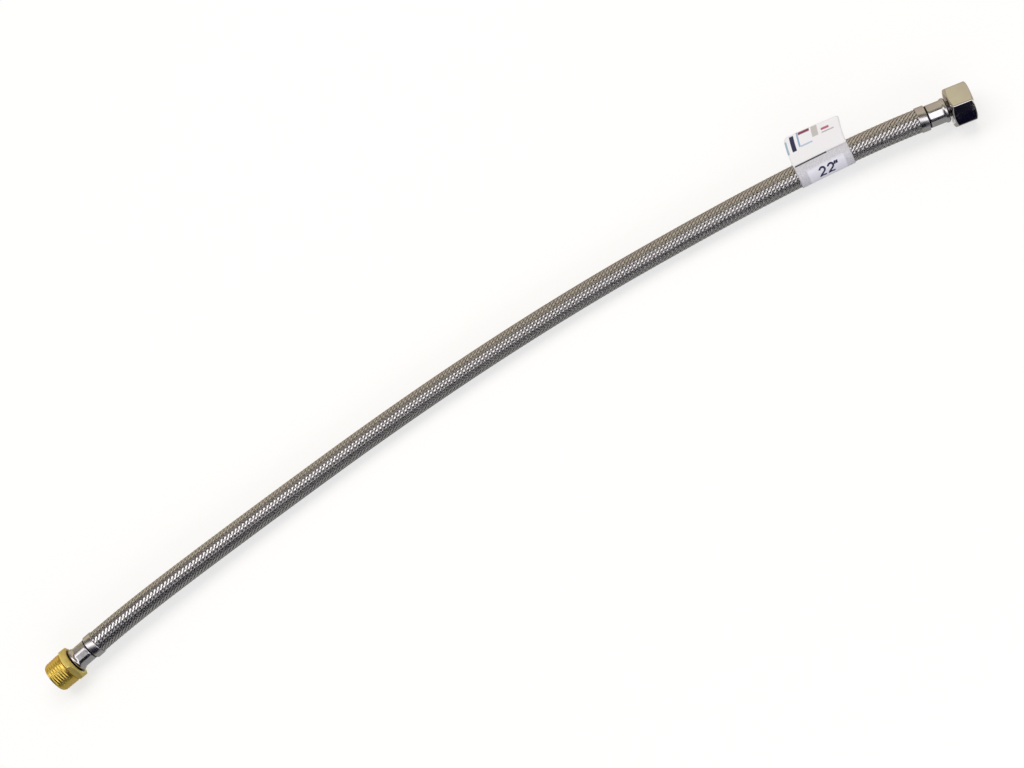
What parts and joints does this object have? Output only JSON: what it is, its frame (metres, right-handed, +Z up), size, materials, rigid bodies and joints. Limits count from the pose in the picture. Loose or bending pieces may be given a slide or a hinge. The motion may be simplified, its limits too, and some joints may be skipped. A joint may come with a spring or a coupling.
{
  "type": "braided stainless steel flexible hose",
  "caption": "Flexible water hose with a braided steel sleeve, a swivel coupling nut at one end, a brass male pipe fitting at the other, crimped ferrules and a folded size label.",
  "frame": {"origin": "centre of the bottom of the bounding box, on the surface that the hose lies on", "axes": "+X along the hose from the brass male fitting to the coupling nut, +Y to the outer side of its gentle bend, +Z up"},
  "size_m": [0.5584, 0.044, 0.0214],
  "materials": {
    "braid_wire": "bright drawn stainless wire, woven",
    "ferrule_steel": "bright pressed stainless sheet",
    "nut_plating": "smooth nickel plating",
    "fitting_brass": "turned, bare",
    "tail_brass": "turned, dark plated",
    "liner_rubber": "smooth black",
    "washer_rubber": "flat black",
    "label_sheet": "printed self-adhesive sheet"
  },
  "bodies": {
    "hose": {"inner_tube": "liner_rubber", "braid_sleeve": "braid_wire", "ferrule_male_end": "ferrule_steel", "ferrule_nut_end": "ferrule_steel", "male_fitting": "fitting_brass", "swivel_tail": "tail_brass", "nut_washer": "washer_rubber", "size_label": "label_sheet"},
    "nut": {"coupling_nut": "nut_plating"}
  },
  "joints": [
    {"name": "nut_spin", "type": "hinge", "parent": "hose", "child": "nut", "pos_m": [0.27165, -0.00975, 0.01], "axis": [0.9776, -0.2106, 0], "continuous": true}
  ]
}
